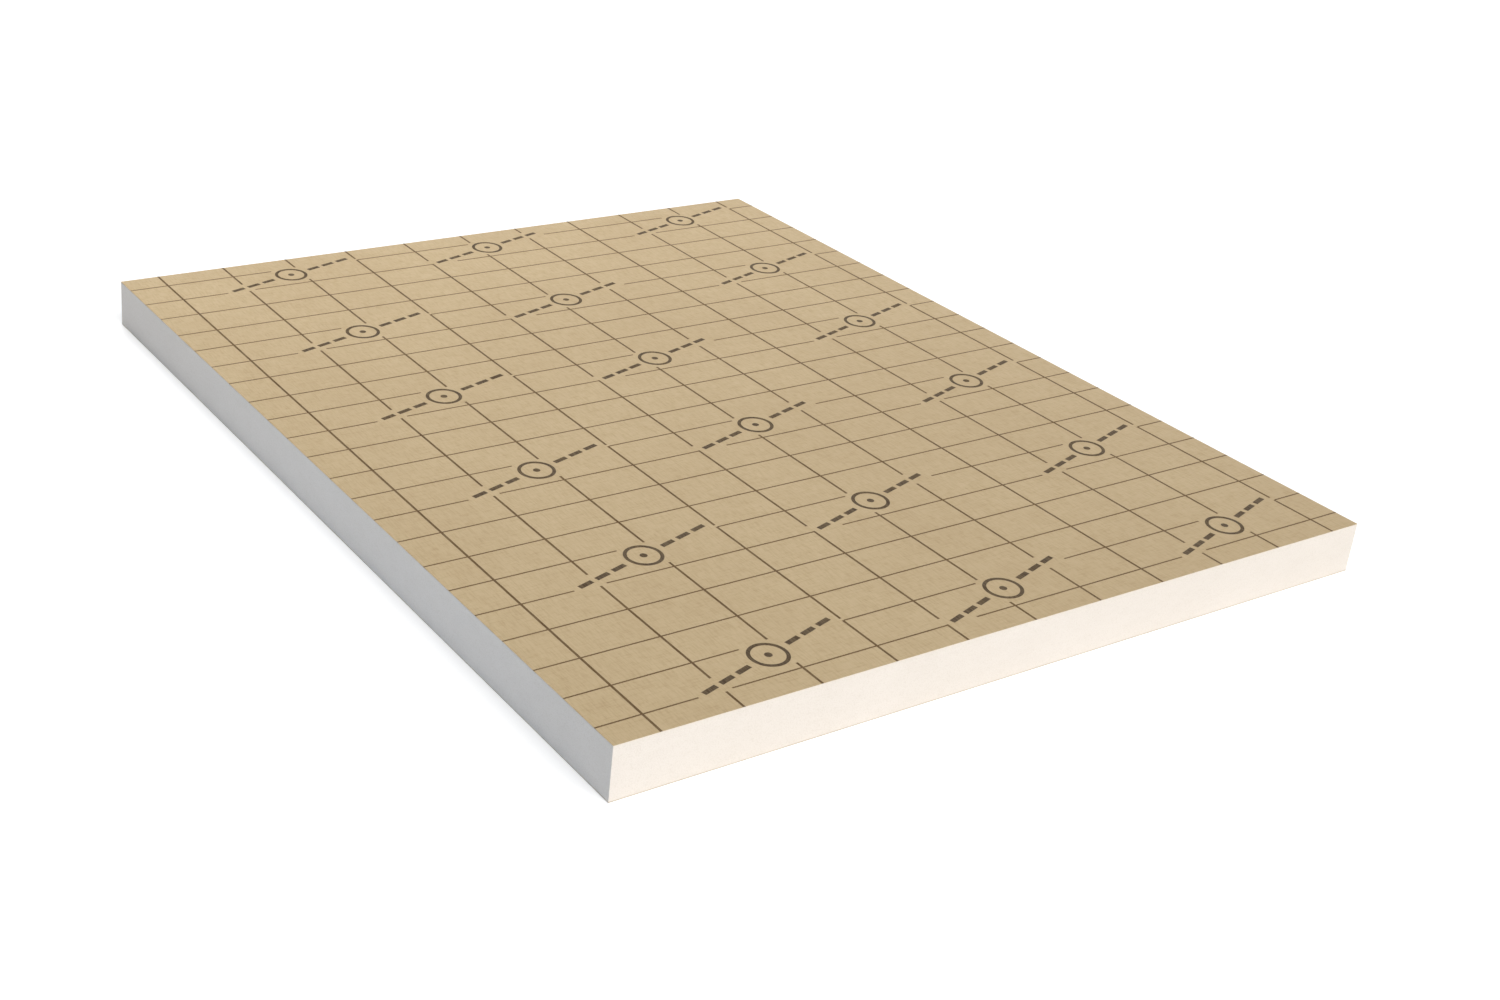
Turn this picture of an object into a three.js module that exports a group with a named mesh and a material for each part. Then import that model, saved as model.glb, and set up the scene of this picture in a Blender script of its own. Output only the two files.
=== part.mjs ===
// A rigid PIR insulation board: a foam core laminated between two kraft paper facings.
// Millimetres, +Z up. X runs along the short edges and Y along the long ones.
// The origin is at the middle of the underside, where the board lies on the floor.

import * as THREE from 'three';

// Driving dimensions

const boardWidth = 1000;
const boardLength = 1200;
const boardThickness = 60;
const facingThickness = 0.5;

// Materials, in the colours of the real board

const foamMaterial = new THREE.MeshStandardMaterial({
  name: 'cream_foam',
  color: '#f4eadb',
  roughness: 0.95,
  metalness: 0,
});

const printedKraftMaterial = new THREE.MeshStandardMaterial({
  name: 'printed_kraft_paper',
  color: '#c4ae89',
  roughness: 0.8,
  metalness: 0,
});

const plainKraftMaterial = new THREE.MeshStandardMaterial({
  name: 'plain_kraft_paper',
  color: '#c9b590',
  roughness: 0.85,
  metalness: 0,
});

/**
 * One flat layer of the board, as long and as wide as the board, cut square at every edge.
 * @param {string} name - the name of the piece
 * @param {number} bottom - the height of its underside
 * @param {number} top - the height of its upper face
 * @param {THREE.Material} material - what it is made of
 * @returns {THREE.Mesh} the layer, centred over the origin
 */
function layer(name, bottom, top, material) {
  const sheet = new THREE.BoxGeometry(boardWidth, boardLength, top - bottom);
  const mesh = new THREE.Mesh(sheet, material);
  mesh.name = name;
  mesh.position.z = (bottom + top) / 2;
  return mesh;
}

// The facings lie flat on the core, face to face, and finish flush with its cut edges.
const coreBottom = facingThickness;
const coreTop = boardThickness - facingThickness;

const board = new THREE.Group();
board.name = 'pir_insulation_board';
board.add(
  layer('bottom_facing', 0, coreBottom, plainKraftMaterial),
  layer('foam_core', coreBottom, coreTop, foamMaterial),
  layer('top_facing', coreTop, boardThickness, printedKraftMaterial),
);

export default board;
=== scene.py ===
"""Dresses a kraft-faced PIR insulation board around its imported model.

The board is a block of pale foam between two paper facings. The upper facing is printed with
a grid for setting out, broken by plain targets. Sizes are in metres. X runs across the board,
Y along it and Z up, and the origin is at the middle of the underside.
"""

import logging
import math
from dataclasses import dataclass, field
from enum import Enum

import bpy
import numpy as np
from mathutils import Matrix, Vector


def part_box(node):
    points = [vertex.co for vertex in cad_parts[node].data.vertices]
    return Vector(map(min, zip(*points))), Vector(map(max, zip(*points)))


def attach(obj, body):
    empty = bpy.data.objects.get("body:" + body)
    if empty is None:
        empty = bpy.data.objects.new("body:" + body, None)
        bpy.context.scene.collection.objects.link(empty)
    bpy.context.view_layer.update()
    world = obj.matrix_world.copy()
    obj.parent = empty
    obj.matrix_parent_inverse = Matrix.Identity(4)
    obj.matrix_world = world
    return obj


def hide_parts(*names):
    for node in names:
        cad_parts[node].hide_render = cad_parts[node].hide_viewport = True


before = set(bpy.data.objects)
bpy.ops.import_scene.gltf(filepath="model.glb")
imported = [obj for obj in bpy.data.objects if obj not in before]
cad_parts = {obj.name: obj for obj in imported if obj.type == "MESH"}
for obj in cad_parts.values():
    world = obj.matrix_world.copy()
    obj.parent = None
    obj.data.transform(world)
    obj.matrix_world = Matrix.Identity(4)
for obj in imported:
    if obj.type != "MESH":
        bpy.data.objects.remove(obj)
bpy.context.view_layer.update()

log = logging.getLogger("insulation_board")

Colour = tuple[float, float, float]
Place = tuple[float, float, float]
Span = tuple[float, float]
Patch = tuple[float, float, float, float]
Surface = tuple[np.ndarray, list[np.ndarray]]
Sockets = dict[str, bpy.types.NodeSocket]

MILLIMETRE = 0.001

# How much of a texture map a side's patch leaves free at the map's edge
MAP_RIM = 0.004

# The Mix node has sockets for every kind of value, and these are the numbers for colours
MIX_SHARE = 0
MIX_FIRST = 6
MIX_SECOND = 7
MIX_RESULT = 2


class BlockSide(Enum):
    """The six sides of a block, numbered as block_surface numbers them."""

    LEFT = 0
    RIGHT = 1
    FRONT = 2
    BACK = 3
    UNDER = 4
    UPPER = 5


class Run(Enum):
    """Which way a printed line runs over the board."""

    ALONG = "along"
    ACROSS = "across"


@dataclass(frozen=True)
class Box:
    """A piece's lowest and highest corners."""

    low: np.ndarray
    high: np.ndarray

    @classmethod
    def of_node(cls, node: str) -> "Box":
        """Reads the box of one of the frame's nodes."""
        low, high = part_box(node)
        return cls(np.array(low), np.array(high))

    @property
    def size(self) -> np.ndarray:
        """The box's three sides."""
        return self.high - self.low


# Surfaces


def block_surface(box: Box, steps: tuple[int, int, int]) -> tuple[np.ndarray, np.ndarray, np.ndarray]:
    """Divides the six faces of a block into one closed lattice.

    On each face two coordinates run over a grid of whole numbers, from 0 to the steps along
    their axes, and the third is held at 0 or at its last step. A corner's place is the low
    corner plus the block's size times number over steps. Corners with the same three numbers
    are one vertex, so the faces share their edges.

    Args:
        box: the block's lowest and highest corners.
        steps: how many quads there are along X, Y and Z.

    Returns:
        The places of the vertices, the four vertices of each quad in outward order, and the
        number of the side that each quad is on.
    """
    quads = []
    sides = []
    ring = np.array([[0, 0], [1, 0], [1, 1], [0, 1]])
    for axis in range(3):
        first = (axis + 1) % 3
        second = (axis + 2) % 3
        i, j = np.meshgrid(np.arange(steps[first]), np.arange(steps[second]), indexing="ij")
        for end in (0, 1):
            numbers = np.zeros((i.size, 4, 3), int)
            numbers[..., axis] = end * steps[axis]
            numbers[..., first] = i.reshape(-1, 1) + ring[:, 0]
            numbers[..., second] = j.reshape(-1, 1) + ring[:, 1]
            quads.append(numbers if end else numbers[:, ::-1])
            sides.append(np.full(i.size, 2 * axis + end))
    corners = np.concatenate(quads)
    unique, index = np.unique(corners.reshape(-1, 3), axis=0, return_inverse=True)
    places = box.low + box.size * unique / np.array(steps)
    return places, index.reshape(-1, 4), np.concatenate(sides)


def bars_surface(
    centres: np.ndarray, halves: np.ndarray, turn: float, low: float, high: float
) -> Surface:
    """Makes flat bars, each a closed box that lies on the paper.

    A corner of a bar is its centre plus the bar's half length along the turned X axis and its
    half width along the turned Y axis, each with either sign, at the low or the high level.

    Args:
        centres: one row of X and Y for each bar.
        halves: one row of half length and half width for each bar.
        turn: the angle of the bars' length from X, in radians.
        low: the height of their underside.
        high: the height of their upper face.

    Returns:
        The places of the vertices, and the quads.
    """
    signs = np.array([[-1, -1], [1, -1], [1, 1], [-1, 1]])
    spin = np.array([[math.cos(turn), math.sin(turn)], [-math.sin(turn), math.cos(turn)]])
    flat = centres[:, None, :] + (signs[None] * halves[:, None, :]) @ spin
    levels = np.array([low, high])
    places = np.zeros((len(centres), 2, 4, 3))
    places[..., :2] = flat[:, None]
    places[..., 2] = levels[None, :, None]
    box_faces = np.array(
        [[3, 2, 1, 0], [4, 5, 6, 7], [0, 1, 5, 4], [1, 2, 6, 5], [2, 3, 7, 6], [3, 0, 4, 7]]
    )
    quads = (np.arange(len(centres)) * 8)[:, None, None] + box_faces
    return places.reshape(-1, 3), [quads.reshape(-1, 4)]


def rings_surface(
    centres: np.ndarray, inner: float, outer: float, low: float, high: float, around: int
) -> Surface:
    """Makes flat rings, each an oblong section carried once round a circle.

    The section's corners are (inner, low), (outer, low), (outer, high) and (inner, high), as
    radius and height. At the angle a each corner stands at centre + radius * (cos a, sin a).

    Args:
        centres: one row of X and Y for each ring.
        inner: the radius of the hole.
        outer: the radius of the rim.
        low: the height of the underside.
        high: the height of the upper face.
        around: how many steps the circle has.

    Returns:
        The places of the vertices, and the quads.
    """
    angle = np.arange(around) * 2 * math.pi / around
    radius = np.array([inner, outer, outer, inner])
    level = np.array([low, low, high, high])
    places = np.zeros((len(centres), around, 4, 3))
    places[..., 0] = centres[:, 0, None, None] + radius * np.cos(angle)[:, None]
    places[..., 1] = centres[:, 1, None, None] + radius * np.sin(angle)[:, None]
    places[..., 2] = level
    step, corner = np.meshgrid(np.arange(around), np.arange(4), indexing="ij")
    after = (step + 1) % around
    beside = (corner + 1) % 4
    one = np.stack(
        [step * 4 + corner, after * 4 + corner, after * 4 + beside, step * 4 + beside], axis=-1
    ).reshape(-1, 4)
    quads = (np.arange(len(centres)) * around * 4)[:, None, None] + one
    return places.reshape(-1, 3), [quads.reshape(-1, 4)]


def dots_surface(centres: np.ndarray, radius: float, low: float, high: float, around: int) -> Surface:
    """Makes flat round dots, each a short closed cylinder.

    At the angle a a rim point stands at centre + radius * (cos a, sin a), at the low level and
    again at the high one. Each end is one flat face.

    Args:
        centres: one row of X and Y for each dot.
        radius: the dots' radius.
        low: the height of the underside.
        high: the height of the upper face.
        around: how many steps the rim has.

    Returns:
        The places of the vertices, and the faces: the walls' quads and the round ends.
    """
    angle = np.arange(around) * 2 * math.pi / around
    places = np.zeros((len(centres), 2, around, 3))
    places[..., 0] = centres[:, 0, None, None] + radius * np.cos(angle)
    places[..., 1] = centres[:, 1, None, None] + radius * np.sin(angle)
    places[..., 2] = np.array([low, high])[None, :, None]
    step = np.arange(around)
    after = (step + 1) % around
    wall = np.stack([step, after, after + around, step + around], axis=-1)
    ends = np.stack([step[::-1], step + around])
    offsets = (np.arange(len(centres)) * 2 * around)[:, None, None]
    return places.reshape(-1, 3), [
        (offsets + wall).reshape(-1, 4),
        (offsets + ends).reshape(-1, around),
    ]


def joined(parts: list[Surface]) -> Surface:
    """Puts several surfaces together as one, with each one's faces counted past the earlier points.

    Args:
        parts: the places and faces of each surface.

    Returns:
        The places and faces of all of them.
    """
    places = []
    faces = []
    count = 0
    for some_places, some_faces in parts:
        places.append(some_places)
        faces.extend(group + count for group in some_faces)
        count += len(some_places)
    return np.concatenate(places), faces


def make_piece(name: str, places: np.ndarray, faces: list[np.ndarray]) -> bpy.types.Object:
    """Makes an object at the origin whose place is in its mesh.

    Args:
        name: the piece's name.
        places: one row of X, Y and Z for each vertex.
        faces: groups of faces, each a table of vertex numbers.

    Returns:
        The new object, linked to the scene.
    """
    mesh = bpy.data.meshes.new(name)
    rows = [row for group in faces for row in group.tolist()]
    mesh.from_pydata(places.tolist(), [], rows)
    mesh.validate()
    mesh.update()
    piece = bpy.data.objects.new(name, mesh)
    bpy.context.scene.collection.objects.link(piece)
    return piece


def lay_out(
    piece: bpy.types.Object,
    box: Box,
    quads: np.ndarray,
    places: np.ndarray,
    sides: np.ndarray,
    patches: dict[BlockSide, Patch],
) -> None:
    """Gives a block a texture map in which each side fills its own oblong patch.

    A point's share of the block's length along the side's two axes becomes its share of the
    patch. Sides that look along X spread Y and Z, those along Y spread X and Z, and the upper
    and under sides spread X and Y.

    Args:
        piece: the block's object.
        box: the block's lowest and highest corners.
        quads: the four vertices of each face.
        places: the vertices.
        sides: the number of the side that each quad is on.
        patches: the lowest and highest corner of each side's patch, as u, v, u, v.
    """
    spread = np.array([[1, 2], [1, 2], [0, 2], [0, 2], [0, 1], [0, 1]])[sides]
    share = (places[quads] - box.low) / box.size
    chosen = np.take_along_axis(share, spread[:, None, :].repeat(4, axis=1), axis=2)
    corners = np.array([patches[side] for side in BlockSide])[sides]
    low = corners[:, None, :2]
    high = corners[:, None, 2:]
    uv = low + (high - low) * chosen
    layer = piece.data.uv_layers.new(name="OFBake")
    layer.data.foreach_set("uv", uv.reshape(-1).astype(np.float32))


def ease_edges(piece: bpy.types.Object, width: float, rounds: int, sharpest: float = 60.0) -> None:
    """Rounds a piece's square edges a little, as a real cut edge is.

    Args:
        piece: the object.
        width: how far the rounding reaches from the edge.
        rounds: how many faces it has.
        sharpest: the turn in degrees past which an edge is rounded.
    """
    piece.data.polygons.foreach_set("use_smooth", np.ones(len(piece.data.polygons), bool))
    bevel = piece.modifiers.new("eased_edges", "BEVEL")
    bevel.width = width
    bevel.segments = rounds
    bevel.limit_method = "ANGLE"
    bevel.angle_limit = math.radians(sharpest)
    bevel.harden_normals = True


# Shader nodes


class NodeBench:
    """Adds nodes to one shader tree and joins their sockets."""

    def __init__(self, tree: bpy.types.ShaderNodeTree) -> None:
        """Takes the tree that the nodes go into."""
        self.tree = tree

    def add(
        self, kind: str, settings: dict[str, object] | None = None, **values: object
    ) -> bpy.types.Node:
        """Adds one node.

        Args:
            kind: the node's Blender type, without the words ShaderNode.
            settings: the node's own options.
            values: an input's name, with _ for a space, and a value or a socket to join to it.

        Returns:
            The node.
        """
        node = self.tree.nodes.new("ShaderNode" + kind)
        for option, choice in (settings or {}).items():
            setattr(node, option, choice)
        for name, value in values.items():
            self.feed(self.socket(node, name), value)
        return node

    def socket(self, node: bpy.types.Node, name: str) -> bpy.types.NodeSocket:
        """Finds one of a node's inputs.

        Args:
            node: the node.
            name: the input's name with _ for a space, or in_ and its number.

        Returns:
            The input.
        """
        if name.startswith("in_"):
            return node.inputs[int(name.removeprefix("in_"))]
        return node.inputs[name.replace("_", " ")]

    def feed(self, socket: bpy.types.NodeSocket, value: object) -> None:
        """Joins another node's output to an input, or sets the input's own value.

        Args:
            socket: the input.
            value: an output to join, or a number, or a colour of three numbers.
        """
        if isinstance(value, bpy.types.NodeSocket):
            self.tree.links.new(value, socket)
        elif socket.type == "RGBA":
            socket.default_value = (*value, 1.0)
        else:
            socket.default_value = value

    def noise(
        self, place: bpy.types.NodeSocket, scale: float, detail: float, rough: float = 0.5
    ) -> bpy.types.NodeSocket:
        """Adds a soft noise.

        Args:
            place: the coordinates that it is read at.
            scale: how many of its cells go into a metre.
            detail: how many finer layers are added.
            rough: how strong each finer layer is beside the one before.

        Returns:
            Its grey value, from 0 to 1.
        """
        node = self.add("TexNoise", Vector=place, Scale=scale, Detail=detail, Roughness=rough)
        return node.outputs["Fac"]

    def stretched(
        self, place: bpy.types.NodeSocket, scale: Place, turn: float = 0.0
    ) -> bpy.types.NodeSocket:
        """Squeezes coordinates, so that a pattern read at them is drawn out.

        Args:
            place: the coordinates.
            scale: the factor along each axis.
            turn: how far they are turned about Z, in radians.

        Returns:
            The new coordinates.
        """
        node = self.add("Mapping", Vector=place, Scale=scale, Rotation=(0.0, 0.0, turn))
        return node.outputs["Vector"]

    def between(self, value: bpy.types.NodeSocket, low: Span, high: Span) -> bpy.types.NodeSocket:
        """Carries one range of values onto another, smoothly.

        Args:
            value: the value that is read.
            low: its lower limit, and what that becomes.
            high: its upper limit, and what that becomes.

        Returns:
            The new value.
        """
        node = self.add("MapRange", {"interpolation_type": "SMOOTHSTEP"}, Value=value)
        node.inputs["From Min"].default_value = low[0]
        node.inputs["To Min"].default_value = low[1]
        node.inputs["From Max"].default_value = high[0]
        node.inputs["To Max"].default_value = high[1]
        return node.outputs["Result"]

    def mixed(self, share: object, first: object, second: object) -> bpy.types.NodeSocket:
        """Mixes two colours.

        Args:
            share: how much of the second there is, from 0 to 1.
            first: a colour, or an output that gives one.
            second: the other colour.

        Returns:
            The mixture.
        """
        node = self.add("Mix", {"data_type": "RGBA"})
        self.feed(node.inputs[MIX_SHARE], share)
        self.feed(node.inputs[MIX_FIRST], first)
        self.feed(node.inputs[MIX_SECOND], second)
        return node.outputs[MIX_RESULT]

    def sum_of(self, first: object, second: object, how: str = "ADD") -> bpy.types.NodeSocket:
        """Adds two values, or works out another sum of them.

        Args:
            first: a number, or an output that gives one.
            second: the other number.
            how: Blender's word for the sum.

        Returns:
            The result.
        """
        node = self.add("Math", {"operation": how}, in_0=first, in_1=second)
        return node.outputs[0]

    def object_place(self) -> bpy.types.NodeSocket:
        """Gives the object coordinates, which are metres in the board's own frame."""
        return self.add("TexCoord").outputs["Object"]


def new_material(name: str) -> tuple[bpy.types.Material, NodeBench, bpy.types.Node]:
    """Makes a material with a Principled shader joined to its output.

    Args:
        name: the material's name.

    Returns:
        The material, a bench for its tree, and the shader node.
    """
    material = bpy.data.materials.new(name)
    material.use_nodes = True
    material.node_tree.nodes.clear()
    bench = NodeBench(material.node_tree)
    shader = bench.add("BsdfPrincipled")
    bench.add("OutputMaterial", Surface=shader.outputs["BSDF"])
    return material, bench, shader


def new_group(
    name: str, takes: dict[str, str], gives: dict[str, str]
) -> tuple[NodeBench, Sockets, Sockets]:
    """Makes an empty shader node group with named sockets.

    Args:
        name: the group's name.
        takes: each input's name and socket type.
        gives: each output's name and socket type.

    Returns:
        A bench for the group's tree, its inputs as sockets to read, and its outputs as sockets
        to feed.
    """
    tree = bpy.data.node_groups.new(name, "ShaderNodeTree")
    for word, kind in takes.items():
        tree.interface.new_socket(word, in_out="INPUT", socket_type="NodeSocket" + kind)
    for word, kind in gives.items():
        tree.interface.new_socket(word, in_out="OUTPUT", socket_type="NodeSocket" + kind)
    bench = NodeBench(tree)
    entry = tree.nodes.new("NodeGroupInput")
    leave = tree.nodes.new("NodeGroupOutput")
    return (
        bench,
        {word: entry.outputs[word] for word in takes},
        {word: leave.inputs[word] for word in gives},
    )


@dataclass(frozen=True)
class KraftPattern:
    """The pattern of kraft paper, which both facings and the ink on them share.

    The paper's colour drifts in wide clouds. Fine fibres lie mostly along the board, a few lie
    askew, and here and there a darker one shows. Scales are in cells to the metre. A draw is the
    share of its fineness that a pattern keeps along the fibre, and a turn is in radians.
    """

    name: str = "kraft_paper"
    cloud_scale: float = 4.5
    blotch_scale: float = 38.0
    fibre_scale: float = 620.0
    fibre_draw: float = 0.10
    askew_scale: float = 430.0
    askew_draw: float = 0.16
    askew_turn: float = 0.5
    fleck_scale: float = 260.0
    fleck_draw: float = 0.22
    fleck_turn: float = -0.35

    def group(self) -> bpy.types.ShaderNodeTree:
        """Builds the node group at the first call, and finds it again at later ones.

        Returns:
            The group. It gives the paper's colour, the height of its fibres, and how much ink
            its surface takes.
        """
        known = bpy.data.node_groups.get(self.name)
        if known:
            return known
        bench, given, out = new_group(
            self.name,
            {"Paper": "Color", "Shade": "Color", "Fibre": "Color"},
            {"Color": "Color", "Height": "Float", "Hold": "Float"},
        )
        place = bench.object_place()
        clouds = bench.noise(place, self.cloud_scale, 3.0)
        blotches = bench.noise(place, self.blotch_scale, 4.0, 0.6)
        drawn = bench.stretched(place, (1.0, self.fibre_draw, 1.0))
        fibres = bench.noise(drawn, self.fibre_scale, 5.0, 0.65)
        drawn_askew = bench.stretched(place, (self.askew_draw, 1.0, 1.0), self.askew_turn)
        askew = bench.noise(drawn_askew, self.askew_scale, 4.0, 0.6)
        drawn_flecks = bench.stretched(place, (1.0, self.fleck_draw, 1.0), self.fleck_turn)
        flecks = bench.noise(drawn_flecks, self.fleck_scale, 2.0, 0.5)

        # Each pair holds a value of a noise and the share that it becomes
        broad = bench.sum_of(
            bench.between(clouds, (0.35, 0.0), (0.65, 0.55)),
            bench.between(blotches, (0.38, 0.0), (0.66, 0.45)),
        )
        toned = bench.mixed(broad, given["Paper"], given["Shade"])
        fine = bench.sum_of(
            bench.between(fibres, (0.42, 0.0), (0.68, 0.42)),
            bench.between(askew, (0.48, 0.0), (0.72, 0.30)),
        )
        fibred = bench.mixed(fine, toned, given["Fibre"])
        flecked = bench.mixed(bench.between(flecks, (0.66, 0.0), (0.74, 0.35)), fibred, given["Fibre"])
        bench.feed(out["Color"], flecked)
        bench.feed(out["Height"], bench.sum_of(fibres, askew))
        bench.feed(out["Hold"], bench.between(fibres, (0.30, 1.0), (0.72, 0.78)))
        return bench.tree


@dataclass(frozen=True)
class KraftFinish:
    """Matt kraft paper, with a faint sheen where it is seen at a low angle."""

    name: str
    paper: Colour
    shade: Colour
    fibre: Colour
    roughness: float = 0.5
    gloss: float = 0.3
    relief: float = 0.00006
    bump: float = 0.35
    pattern: KraftPattern = KraftPattern()

    def material(self) -> bpy.types.Material:
        """Makes the paper's material.

        Returns:
            The material.
        """
        material, bench, shader = new_material(self.name)
        group = bench.add(
            "Group", {"node_tree": self.pattern.group()},
            Paper=self.paper, Shade=self.shade, Fibre=self.fibre,
        )
        bench.feed(shader.inputs["Base Color"], group.outputs["Color"])
        height = group.outputs["Height"]
        rough = bench.between(height, (0.7, self.roughness - 0.06), (1.3, self.roughness + 0.08))
        bench.feed(shader.inputs["Roughness"], rough)
        bump = bench.add("Bump", Height=height, Strength=self.bump, Distance=self.relief)
        bench.feed(shader.inputs["Normal"], bump.outputs["Normal"])
        shader.inputs["Specular IOR Level"].default_value = self.gloss
        return material


@dataclass(frozen=True)
class InkFinish:
    """Dark brown ink printed on kraft paper, thinner where the fibres stand up."""

    name: str
    ink: Colour
    worn: Colour
    paper: KraftFinish
    roughness: float = 0.62
    gloss: float = 0.25
    patch_scale: float = 55.0

    def material(self) -> bpy.types.Material:
        """Makes the ink's material.

        Returns:
            The material.
        """
        material, bench, shader = new_material(self.name)
        group = bench.add(
            "Group", {"node_tree": self.paper.pattern.group()},
            Paper=self.paper.paper, Shade=self.paper.shade, Fibre=self.paper.fibre,
        )
        place = bench.object_place()
        patchy = bench.between(bench.noise(place, self.patch_scale, 3.0), (0.35, 0.0), (0.7, 0.55))
        ink = bench.mixed(patchy, self.ink, self.worn)
        laid = bench.mixed(group.outputs["Hold"], group.outputs["Color"], ink)
        bench.feed(shader.inputs["Base Color"], laid)
        rough = bench.between(patchy, (0.0, self.roughness), (0.55, self.roughness + 0.1))
        bench.feed(shader.inputs["Roughness"], rough)
        shader.inputs["Specular IOR Level"].default_value = self.gloss
        return material


@dataclass(frozen=True)
class CutPaperFinish:
    """The pale pulp that shows where a facing is trimmed."""

    name: str
    pulp: Colour
    glue: Colour
    roughness: float = 0.9
    tear_scale: float = 420.0

    def material(self) -> bpy.types.Material:
        """Makes the cut rim's material.

        Returns:
            The material.
        """
        material, bench, shader = new_material(self.name)
        place = bench.object_place()
        torn = bench.between(bench.noise(place, self.tear_scale, 4.0, 0.6), (0.4, 0.0), (0.65, 0.6))
        bench.feed(shader.inputs["Base Color"], bench.mixed(torn, self.pulp, self.glue))
        shader.inputs["Roughness"].default_value = self.roughness
        return material


@dataclass(frozen=True)
class FoamFinish:
    """Cream rigid foam, sawn: fine closed cells, faint flow lines and a denser skin.

    Scales are in cells to the metre.
    """

    name: str
    foam: Colour
    pocket: Colour
    skin: Colour
    bottom: float
    top: float
    skin_depth: float = 0.0022
    cell_scale: float = 900.0
    crumb_scale: float = 1700.0
    flow_scale: float = 150.0
    flow_draw: float = 0.35
    cloud_scale: float = 9.0
    roughness: float = 0.93
    gloss: float = 0.25
    relief: float = 0.0002
    bump: float = 0.5

    def material(self) -> bpy.types.Material:
        """Makes the foam's material.

        Returns:
            The material.
        """
        material, bench, shader = new_material(self.name)
        place = bench.object_place()
        cells = bench.add("TexVoronoi", Vector=place, Scale=self.cell_scale)
        crumbs = bench.noise(place, self.crumb_scale, 3.0, 0.6)
        drawn = bench.stretched(place, (self.flow_draw, self.flow_draw, 1.0))
        flow = bench.noise(drawn, self.flow_scale, 4.0, 0.6)
        clouds = bench.noise(place, self.cloud_scale, 3.0)

        # Each pair holds a value of a pattern and the share of pocket colour that it becomes
        pits = bench.between(cells.outputs["Distance"], (0.35, 0.0), (0.95, 0.42))
        streaks = bench.between(flow, (0.40, 0.0), (0.68, 0.10))
        broad = bench.between(clouds, (0.35, 0.0), (0.68, 0.12))
        wear = bench.sum_of(bench.sum_of(pits, streaks), broad)
        toned = bench.mixed(wear, self.foam, self.pocket)

        height = bench.add("SeparateXYZ", Vector=place).outputs["Z"]
        # The skin is strongest against the facings and fades out over its depth
        near_top = bench.between(height, (self.top - self.skin_depth, 0.0), (self.top, 0.6))
        near_bottom = bench.between(height, (self.bottom, 0.6), (self.bottom + self.skin_depth, 0.0))
        skinned = bench.mixed(bench.sum_of(near_top, near_bottom), toned, self.skin)
        bench.feed(shader.inputs["Base Color"], skinned)

        cell_wall = bench.sum_of(cells.outputs["Distance"], -1.0, "MULTIPLY")
        rough_height = bench.sum_of(cell_wall, bench.sum_of(crumbs, 0.5, "MULTIPLY"))
        bump = bench.add(
            "Bump", Height=rough_height, Strength=self.bump, Distance=self.relief
        )
        bench.feed(shader.inputs["Normal"], bump.outputs["Normal"])
        bench.feed(
            shader.inputs["Roughness"],
            bench.between(crumbs, (0.3, self.roughness - 0.06), (0.7, self.roughness)),
        )
        shader.inputs["Specular IOR Level"].default_value = self.gloss
        return material


# The board's pieces


@dataclass
class FoamCore:
    """The foam block between the facings, sawn square at its four edges."""

    box: Box
    finish: FoamFinish
    steps: tuple[int, int, int] = (50, 60, 6)
    saw_depth: float = 0.00012
    eased: float = 0.0004
    rounds: int = 2

    def sawn(self, places: np.ndarray) -> np.ndarray:
        """Lets the sawn edges stand back from their true planes in slow waves.

        A point on an edge face moves in by depth * (2 + sin(41 s + 60 z) + sin(97 s - 25 z)) / 4,
        where s is X plus Y and z is the height. Every other point stays.

        Args:
            places: the block's vertices.

        Returns:
            The moved vertices.
        """
        moved = places.copy()
        along = places[:, 0] + places[:, 1]
        level = places[:, 2]
        wave = (2 + np.sin(41 * along + 60 * level) + np.sin(97 * along - 25 * level)) / 4
        for axis in (0, 1):
            outward = np.zeros(len(places))
            outward[np.isclose(places[:, axis], self.box.high[axis])] = 1
            outward[np.isclose(places[:, axis], self.box.low[axis])] = -1
            moved[:, axis] -= outward * self.saw_depth * wave
        return moved

    def patches(self) -> dict[BlockSide, Patch]:
        """Shares out the texture: a band for each sawn edge, and a sliver for each glued face.

        Returns:
            Each side's patch.
        """
        edges = (BlockSide.LEFT, BlockSide.RIGHT, BlockSide.FRONT, BlockSide.BACK)
        band = 0.24
        gap = 0.01
        first = 0.03
        shared = {
            side: (MAP_RIM, first + band * row, 1 - MAP_RIM, first + band * (row + 1) - gap)
            for row, side in enumerate(edges)
        }
        shared[BlockSide.UNDER] = (MAP_RIM, MAP_RIM, 0.4, 0.02)
        shared[BlockSide.UPPER] = (0.6, MAP_RIM, 1 - MAP_RIM, 0.02)
        return shared

    def build(self) -> bpy.types.Object:
        """Builds the block, dresses it and puts it in the CAD solid's place.

        Returns:
            The block.
        """
        places, quads, sides = block_surface(self.box, self.steps)
        piece = make_piece("foam_block", self.sawn(places), [quads])
        lay_out(piece, self.box, quads, places, sides, self.patches())
        ease_edges(piece, self.eased, self.rounds)
        piece.data.materials.append(self.finish.material())
        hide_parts("foam_core")
        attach(piece, "root")
        return piece


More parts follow.
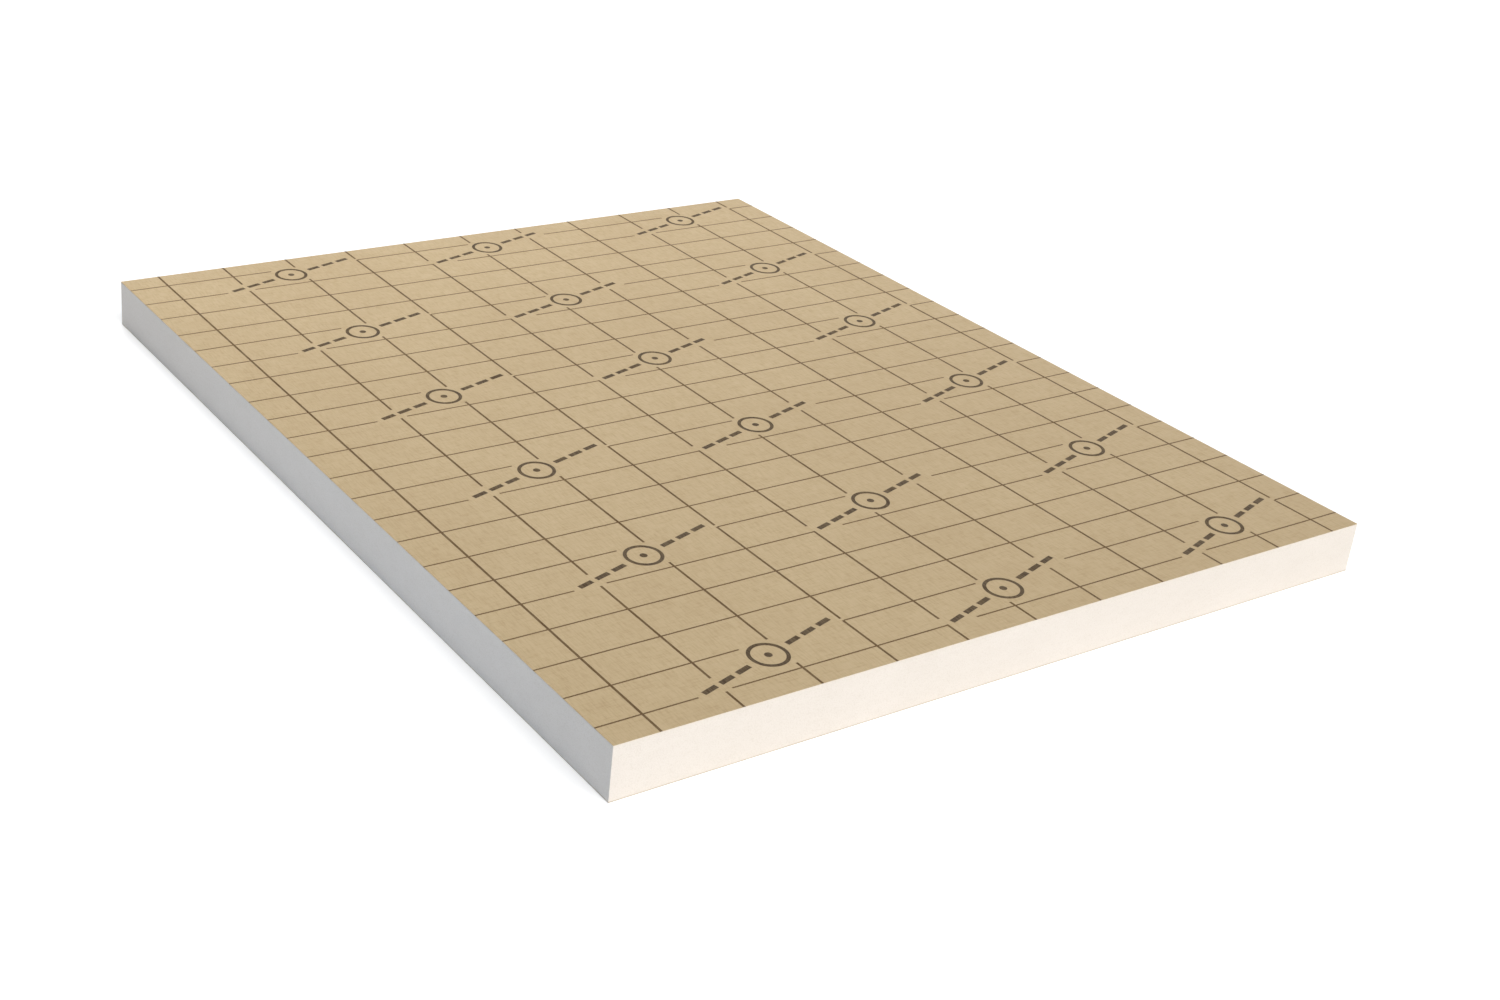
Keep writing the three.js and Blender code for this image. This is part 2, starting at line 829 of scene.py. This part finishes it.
@dataclass
class Facing:
    """One kraft paper facing, bonded to the foam and trimmed flush with it."""

    node: str
    slot: str
    outer: BlockSide
    finish: KraftFinish
    rim_finish: CutPaperFinish
    steps: tuple[int, int, int] = (50, 60, 1)
    dimple_depth: float = 0.00005
    eased: float = 0.00012
    rounds: int = 1
    box: Box = field(init=False)

    def __post_init__(self) -> None:
        """Reads the facing's place from the frame."""
        self.box = Box.of_node(self.node)

    def dimpled(self, places: np.ndarray) -> np.ndarray:
        """Lets the outer face follow the foam's slight unevenness.

        A point of the outer face moves towards the foam by
        depth * (2 + sin(31 x + 11 y) * sin(23 y) + sin(67 x - 29 y)) / 4.

        Args:
            places: the sheet's vertices.

        Returns:
            The moved vertices.
        """
        moved = places.copy()
        upper = self.outer is BlockSide.UPPER
        face = self.box.high[2] if upper else self.box.low[2]
        inward = -1 if upper else 1
        x = places[:, 0]
        y = places[:, 1]
        wave = (2 + np.sin(31 * x + 11 * y) * np.sin(23 * y) + np.sin(67 * x - 29 * y)) / 4
        outer = np.isclose(places[:, 2], face, atol=1e-7)
        moved[outer, 2] += inward * self.dimple_depth * wave[outer]
        return moved

    def patches(self) -> dict[BlockSide, Patch]:
        """Shares out the texture: nearly all of it for the outer face, and slivers for the rest.

        Returns:
            Each side's patch.
        """
        hidden = BlockSide.UNDER if self.outer is BlockSide.UPPER else BlockSide.UPPER
        return {
            self.outer: (MAP_RIM, 0.06, 1 - MAP_RIM, 1 - MAP_RIM),
            hidden: (0.3, MAP_RIM, 0.7, 0.02),
            BlockSide.LEFT: (0.01, 0.026, 0.48, 0.034),
            BlockSide.RIGHT: (0.52, 0.026, 0.99, 0.034),
            BlockSide.FRONT: (0.01, 0.042, 0.48, 0.05),
            BlockSide.BACK: (0.52, 0.042, 0.99, 0.05),
        }

    def build(self) -> bpy.types.Object:
        """Builds the sheet, dresses it and puts it in the CAD solid's place.

        Returns:
            The sheet.
        """
        places, quads, sides = block_surface(self.box, self.steps)
        piece = make_piece(self.node + "_paper", self.dimpled(places), [quads])
        lay_out(piece, self.box, quads, places, sides, self.patches())
        ease_edges(piece, self.eased, self.rounds)
        piece.data.materials.append(self.finish.material())
        piece.data.materials.append(self.rim_finish.material())
        on_rim = sides < BlockSide.UNDER.value
        piece.data.polygons.foreach_set("material_index", on_rim.astype(np.int32))
        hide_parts(self.node)
        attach(piece, "root")
        return piece


@dataclass(frozen=True)
class TargetMark:
    """A plain printed target: a ring with a dot, and a row of dashes to each side of it.

    The row of dashes is tilted from X, in radians. The grid keeps the clear gap from it all.
    """

    ring_radius: float = 0.0195
    ring_line: float = 0.0042
    dot_radius: float = 0.0042
    dash_length: float = 0.019
    dash_width: float = 0.0062
    dash_pitch: float = 0.0255
    dashes: int = 3
    first_dash: float = 0.0395
    clear_gap: float = 0.009
    tilt: float = math.radians(17.1)
    ring_steps: int = 48
    dot_steps: int = 20

    @property
    def reach(self) -> float:
        """How far the dashes reach from the middle."""
        return self.first_dash + (self.dashes - 1) * self.dash_pitch + self.dash_length / 2

    def cleared(self, centre: np.ndarray, run: Run, place: float) -> Span | None:
        """Finds the stretch of a grid line that is left out round the target.

        The stretch is inside a circle round the ring, or inside an oblong round the dashes.
        With the line's point as start + t * direction, the circle gives the two roots of a
        quadratic. The oblong gives, for each of its axes, the t where the point is less than
        half its side away.

        Args:
            centre: the target's middle.
            run: which way the line runs.
            place: the line's X if it runs along the board, or its Y if it runs across.

        Returns:
            The lower and upper end of the stretch, or None where the line passes clear.
        """
        start = np.array([place, 0.0]) if run is Run.ALONG else np.array([0.0, place])
        step = np.array([0.0, 1.0]) if run is Run.ALONG else np.array([1.0, 0.0])
        offset = start - centre
        found = []
        radius = self.ring_radius + self.clear_gap
        middle = -offset @ step
        beside = radius**2 - (offset @ offset - middle**2)
        if beside > 0:
            found.append((middle - math.sqrt(beside), middle + math.sqrt(beside)))
        along = np.array([math.cos(self.tilt), math.sin(self.tilt)])
        across = np.array([-math.sin(self.tilt), math.cos(self.tilt)])
        low = -math.inf
        high = math.inf
        sides = (
            (along, self.reach + self.clear_gap),
            (across, self.dash_width / 2 + self.clear_gap),
        )
        for axis, half in sides:
            ends = sorted((side - offset @ axis) / (step @ axis) for side in (-half, half))
            low = max(low, ends[0])
            high = min(high, ends[1])
        if low < high:
            found.append((low, high))
        if not found:
            return None
        return min(span[0] for span in found), max(span[1] for span in found)

    def surface(self, centres: np.ndarray, low: float, high: float) -> Surface:
        """Builds the targets at the given middles.

        Args:
            centres: one row of X and Y for each target.
            low: the height of the ink's underside.
            high: the height of its upper face.

        Returns:
            The places of the vertices, and the faces.
        """
        inner = self.ring_radius - self.ring_line / 2
        outer = self.ring_radius + self.ring_line / 2
        rings = rings_surface(centres, inner, outer, low, high, self.ring_steps)
        dots = dots_surface(centres, self.dot_radius, low, high, self.dot_steps)
        out = self.first_dash + np.arange(self.dashes) * self.dash_pitch
        steps = np.concatenate([-out[::-1], out])
        way = np.array([math.cos(self.tilt), math.sin(self.tilt)])
        middles = (centres[:, None, :] + steps[None, :, None] * way).reshape(-1, 2)
        halves = np.tile([self.dash_length / 2, self.dash_width / 2], (len(middles), 1))
        bars = bars_surface(middles, halves, self.tilt, low, high)
        return joined([rings, dots, bars])


def left_over(whole: Span, cuts: list[Span]) -> list[Span]:
    """Finds what is left of a stretch once shorter ones are cut out of it.

    Args:
        whole: the stretch.
        cuts: the stretches that are cut out, which may overlap.

    Returns:
        The stretches that are left, in order.
    """
    rest = []
    start = whole[0]
    for low, high in sorted(cuts):
        if low > start:
            rest.append((start, min(low, whole[1])))
        start = max(start, high)
    if start < whole[1]:
        rest.append((start, whole[1]))
    return [span for span in rest if span[1] - span[0] > MILLIMETRE]


@dataclass
class Print:
    """The ink on the upper facing: a grid of fine lines, broken by rows of targets.

    Lines along the board and the columns of targets are placed from the left edge. Lines
    across it and the rows of targets are placed from the back edge. The ink stands a film
    above the sheet and reaches a little into it, so that no gap shows.
    """

    sheet: Box
    finish: InkFinish
    mark_finish: InkFinish
    mark: TargetMark = field(default_factory=TargetMark)
    along_count: int = 11
    along_start: float = 0.0508
    along_pitch: float = 0.0906
    along_width: float = 0.0027
    across_count: int = 22
    across_start: float = 0.036
    across_pitch: float = 0.0529
    roller_gap: float = 0.0573
    roller_lines: int = 4
    across_width: float = 0.0018
    mark_columns: tuple[float, ...] = (0.216, 0.5175, 0.851)
    mark_start: float = 0.056
    mark_count: int = 6
    film: float = 0.00008
    sunk: float = 0.00012

    @property
    def levels(self) -> Span:
        """The heights of the ink's underside, just inside the paper, and of its upper face."""
        top = float(self.sheet.high[2])
        return top - self.sunk, top + self.film

    @property
    def repeat(self) -> float:
        """The length of one turn of the printing roller: its lines, the last gap a wider one."""
        return (self.roller_lines - 1) * self.across_pitch + self.roller_gap

    def along_places(self) -> np.ndarray:
        """Gives X for each line that runs along the board, from the left edge."""
        return self.sheet.low[0] + self.along_start + np.arange(self.along_count) * self.along_pitch

    def across_places(self) -> np.ndarray:
        """Works out where the lines across the board lie, turn by turn of the roller.

        Returns:
            Y for each line, from the back edge on.
        """
        number = np.arange(self.across_count)
        turn = number // self.roller_lines
        within = number % self.roller_lines
        late = np.where(within == self.roller_lines - 1, self.roller_gap - self.across_pitch, 0)
        from_start = turn * self.repeat + within * self.across_pitch + late
        return self.sheet.high[1] - self.across_start - from_start

    def mark_places(self) -> np.ndarray:
        """Works out where the targets lie, column by column, one to each turn of the roller.

        Returns:
            One row of X and Y for each target's middle.
        """
        x = self.sheet.low[0] + np.array(self.mark_columns)
        y = self.sheet.high[1] - self.mark_start - np.arange(self.mark_count) * self.repeat
        grid = np.stack(np.meshgrid(x, y, indexing="ij"), axis=-1)
        return grid.reshape(-1, 2)

    def cleared(self, run: Run, place: float) -> list[Span]:
        """Lists the stretches of a line that the targets leave clear."""
        spans = (self.mark.cleared(centre, run, place) for centre in self.mark_places())
        return [span for span in spans if span]

    def lines(self) -> tuple[np.ndarray, np.ndarray]:
        """Works out every stretch of the grid as a bar.

        A line along the board keeps its whole width. A line across it is cut wherever it meets
        one that is printed there, so that no two stretches overlap.

        Returns:
            The middle of each bar, and its half sizes along X and Y.
        """
        low_x, low_y = self.sheet.low[:2]
        high_x, high_y = self.sheet.high[:2]
        half_along = self.along_width / 2
        half_across = self.across_width / 2
        bars = []
        standing = []
        for x in self.along_places():
            spans = left_over((low_y, high_y), self.cleared(Run.ALONG, x))
            standing.append((x, spans))
            bars.extend((x - half_along, x + half_along, low, high) for low, high in spans)
        for y in self.across_places():
            cuts = self.cleared(Run.ACROSS, y)
            for x, spans in standing:
                if any(low - half_across < y < high + half_across for low, high in spans):
                    cuts.append((x - half_along, x + half_along))
            for low, high in left_over((low_x, high_x), cuts):
                bars.append((low, high, y - half_across, y + half_across))
        table = np.array(bars)
        centres = np.stack([table[:, :2].mean(axis=1), table[:, 2:].mean(axis=1)], axis=-1)
        halves = np.stack([np.ptp(table[:, :2], axis=1), np.ptp(table[:, 2:], axis=1)], axis=-1) / 2
        return centres, halves

    def build(self) -> list[bpy.types.Object]:
        """Builds the grid and the targets, and dresses them in ink.

        Returns:
            The grid and the targets.
        """
        low, high = self.levels
        centres, halves = self.lines()
        grid_places, grid_faces = bars_surface(centres, halves, 0.0, low, high)
        grid = make_piece("printed_grid", grid_places, grid_faces)
        mark_places, mark_faces = self.mark.surface(self.mark_places(), low, high)
        marks = make_piece("printed_targets", mark_places, mark_faces)
        for piece, finish in ((grid, self.finish), (marks, self.mark_finish)):
            piece.data.materials.append(finish.material())
            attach(piece, "root")
        return [grid, marks]


# The studio


@dataclass(frozen=True)
class StudioCamera:
    """The camera, at the photograph's viewing angle.

    The lens and the sensor are in millimetres, and the angles in degrees. The azimuth is
    counted from the board's front, and the roll turns the picture clockwise.
    """

    place: Place = (-1.3634, -1.8130, 1.0482)
    azimuth: float = -35.37
    elevation: float = 24.42
    roll: float = 5.08
    lens: float = 48.71
    sensor: float = 36.0
    shift_x: float = 0.0733
    shift_y: float = -0.0533

    def build(self) -> bpy.types.Object:
        """Makes the camera and gives it to the scene.

        Returns:
            The camera.
        """
        data = bpy.data.cameras.new("studio_camera")
        data.lens = self.lens
        data.sensor_width = self.sensor
        data.shift_x = self.shift_x
        data.shift_y = self.shift_y
        camera = bpy.data.objects.new("studio_camera", data)
        bpy.context.scene.collection.objects.link(camera)
        side = math.radians(self.azimuth)
        rise = math.radians(self.elevation)
        flat = math.cos(rise)
        ahead = Vector((-math.sin(side) * flat, math.cos(side) * flat, -math.sin(rise)))
        level = ahead.cross(Vector((0, 0, 1))).normalized()
        upright = level.cross(ahead)
        turn = Matrix.Rotation(math.radians(-self.roll), 3, ahead)
        axes = Matrix((turn @ level, turn @ upright, -ahead)).transposed()
        camera.matrix_world = Matrix.Translation(self.place) @ axes.to_4x4()
        bpy.context.scene.camera = camera
        return camera


@dataclass(frozen=True)
class SoftSun:
    """One broad, even light, far away.

    Its angles are in degrees, and glints says whether it shows in glossy surfaces.
    """

    name: str
    azimuth: float
    elevation: float
    strength: float
    spread: float
    colour: Colour = (1.0, 1.0, 1.0)
    glints: bool = True

    def build(self) -> bpy.types.Object:
        """Makes the light. Its azimuth says where it stands, as the camera's does.

        Returns:
            The light.
        """
        data = bpy.data.lights.new(self.name, "SUN")
        data.energy = self.strength * math.pi
        data.angle = math.radians(self.spread)
        data.color = self.colour
        light = bpy.data.objects.new(self.name, data)
        bpy.context.scene.collection.objects.link(light)
        side = math.radians(self.azimuth)
        rise = math.radians(self.elevation)
        flat = math.cos(rise)
        towards = Vector((math.sin(side) * flat, -math.cos(side) * flat, math.sin(rise)))
        light.rotation_mode = "QUATERNION"
        light.rotation_quaternion = towards.to_track_quat("Z", "Y")
        light.visible_glossy = self.glints
        return light


@dataclass(frozen=True)
class Softbox:
    """A square soft lamp that stands near the board and faces it."""

    name: str
    place: Place
    aim: Place
    side: float
    watts: float
    colour: Colour = (1.0, 1.0, 1.0)

    def build(self) -> bpy.types.Object:
        """Makes the lamp, which lights the board but doesn't show in the picture.

        Returns:
            The lamp.
        """
        data = bpy.data.lights.new(self.name, "AREA")
        data.shape = "SQUARE"
        data.size = self.side
        data.energy = self.watts
        data.color = self.colour
        light = bpy.data.objects.new(self.name, data)
        bpy.context.scene.collection.objects.link(light)
        light.location = self.place
        back = Vector(self.place) - Vector(self.aim)
        light.rotation_mode = "QUATERNION"
        light.rotation_quaternion = back.to_track_quat("Z", "Y")
        light.visible_camera = False
        light.visible_glossy = False
        return light


@dataclass
class Studio:
    """A plain pale floor under soft light."""

    floor_size: float = 24.0
    floor_steps: int = 24
    floor_drop: float = 0.0002
    floor_colour: Colour = (0.62, 0.62, 0.62)
    floor_glow: float = 0.50
    backdrop: Colour = (1.0, 1.0, 1.0)
    backdrop_strength: float = 1.15
    lights: tuple[SoftSun | Softbox, ...] = (
        SoftSun("front_light", 6.0, 45.0, 1.07, 50.0),
        SoftSun("rear_fill", 140.0, 15.0, 0.35, 70.0, (0.88, 0.95, 1.0), glints=False),
        Softbox("rear_softbox", (-0.1, 2.0, 2.2), (-0.1, 2.0, 0.0), 0.5, 28.0),
        Softbox("side_softbox", (-2.2, -0.3, 0.3), (-0.5, 0.0, 0.03), 0.5, 8.35, (0.61, 0.775, 1.0)),
    )

    def floor_surface(self) -> Surface:
        """Works out the floor as a flat square grid, half its size each way from the origin.

        Returns:
            The places of the vertices, and the quads.
        """
        line = np.linspace(-self.floor_size / 2, self.floor_size / 2, self.floor_steps + 1)
        x, y = np.meshgrid(line, line, indexing="ij")
        places = np.stack([x, y, np.full_like(x, -self.floor_drop)], axis=-1).reshape(-1, 3)
        count = self.floor_steps + 1
        i, j = np.meshgrid(np.arange(self.floor_steps), np.arange(self.floor_steps), indexing="ij")
        first = (i * count + j).ravel()
        quads = np.stack([first, first + count, first + count + 1, first + 1], axis=-1)
        return places, [quads]

    def floor_material(self) -> bpy.types.Material:
        """Makes the floor's matt paint, with a glow that only the camera sees.

        The glow makes the floor look white, without more light on the board.

        Returns:
            The material.
        """
        material, bench, shader = new_material("pale_floor")
        path = bench.add("LightPath")
        glow = bench.sum_of(path.outputs["Is Camera Ray"], self.floor_glow, "MULTIPLY")
        bench.feed(shader.inputs["Emission Strength"], glow)
        shader.inputs["Emission Color"].default_value = (1.0, 1.0, 1.0, 1.0)
        shader.inputs["Base Color"].default_value = (*self.floor_colour, 1.0)
        shader.inputs["Roughness"].default_value = 1.0
        shader.inputs["Specular IOR Level"].default_value = 0.0
        return material

    def build(self) -> None:
        """Makes the floor, the backdrop colour and the lights.

        The floor hangs on none of the board's bodies, so it is no part of the board. The backdrop
        is seen and mirrored, but all the light on matt surfaces comes from the lights and the floor.
        """
        floor = make_piece("studio_floor", *self.floor_surface())
        floor.data.materials.append(self.floor_material())
        world = bpy.data.worlds.new("pale_backdrop")
        world.use_nodes = True
        background = world.node_tree.nodes["Background"]
        background.inputs["Color"].default_value = (*self.backdrop, 1.0)
        background.inputs["Strength"].default_value = self.backdrop_strength
        # The backdrop casts no light of its own on matt surfaces
        world.cycles_visibility.diffuse = False
        bpy.context.scene.world = world
        bpy.context.scene.view_settings.view_transform = "Standard"
        for light in self.lights:
            light.build()


def report(piece: bpy.types.Object) -> None:
    """Logs a finished piece with its overall size in millimetres.

    Args:
        piece: the piece.
    """
    places = np.array([corner[:] for corner in piece.bound_box])
    across, along, high = np.ptp(places, axis=0) / MILLIMETRE
    faces = len(piece.data.polygons)
    log.info("%s: %.1f x %.1f x %.2f mm, %d faces", piece.name, across, along, high, faces)


def main() -> None:
    """Builds the studio and the board, piece by piece, and notes the board's size.
    """
    logging.basicConfig(level=logging.INFO, format="%(message)s")
    Studio().build()
    StudioCamera().build()

    core = Box.of_node("foam_core")
    foam = FoamFinish(
        "cream_foam",
        foam=(0.915, 0.845, 0.770),
        pocket=(0.80, 0.725, 0.635),
        skin=(0.84, 0.755, 0.64),
        bottom=float(core.low[2]),
        top=float(core.high[2]),
    )
    printed_kraft = KraftFinish(
        "printed_kraft_paper",
        paper=(0.520, 0.392, 0.222),
        shade=(0.480, 0.355, 0.196),
        fibre=(0.385, 0.275, 0.140),
    )
    plain_kraft = KraftFinish(
        "plain_kraft_paper",
        paper=(0.560, 0.432, 0.262),
        shade=(0.515, 0.392, 0.232),
        fibre=(0.410, 0.300, 0.165),
    )
    cut_paper = CutPaperFinish("cut_paper", pulp=(0.85, 0.775, 0.67), glue=(0.74, 0.66, 0.54))
    line_ink = InkFinish(
        "line_ink", ink=(0.075, 0.036, 0.008), worn=(0.110, 0.062, 0.022), paper=printed_kraft
    )
    mark_ink = InkFinish(
        "mark_ink", ink=(0.030, 0.014, 0.003), worn=(0.055, 0.031, 0.011), paper=printed_kraft
    )

    report(FoamCore(core, foam).build())
    upper = Facing("top_facing", "printed_kraft", BlockSide.UPPER, printed_kraft, cut_paper)
    report(upper.build())
    report(Facing("bottom_facing", "plain_kraft", BlockSide.UNDER, plain_kraft, cut_paper).build())
    for piece in Print(upper.box, line_ink, mark_ink).build():
        report(piece)

    bpy.context.view_layer.update()


if __name__ == "__main__":
    main()
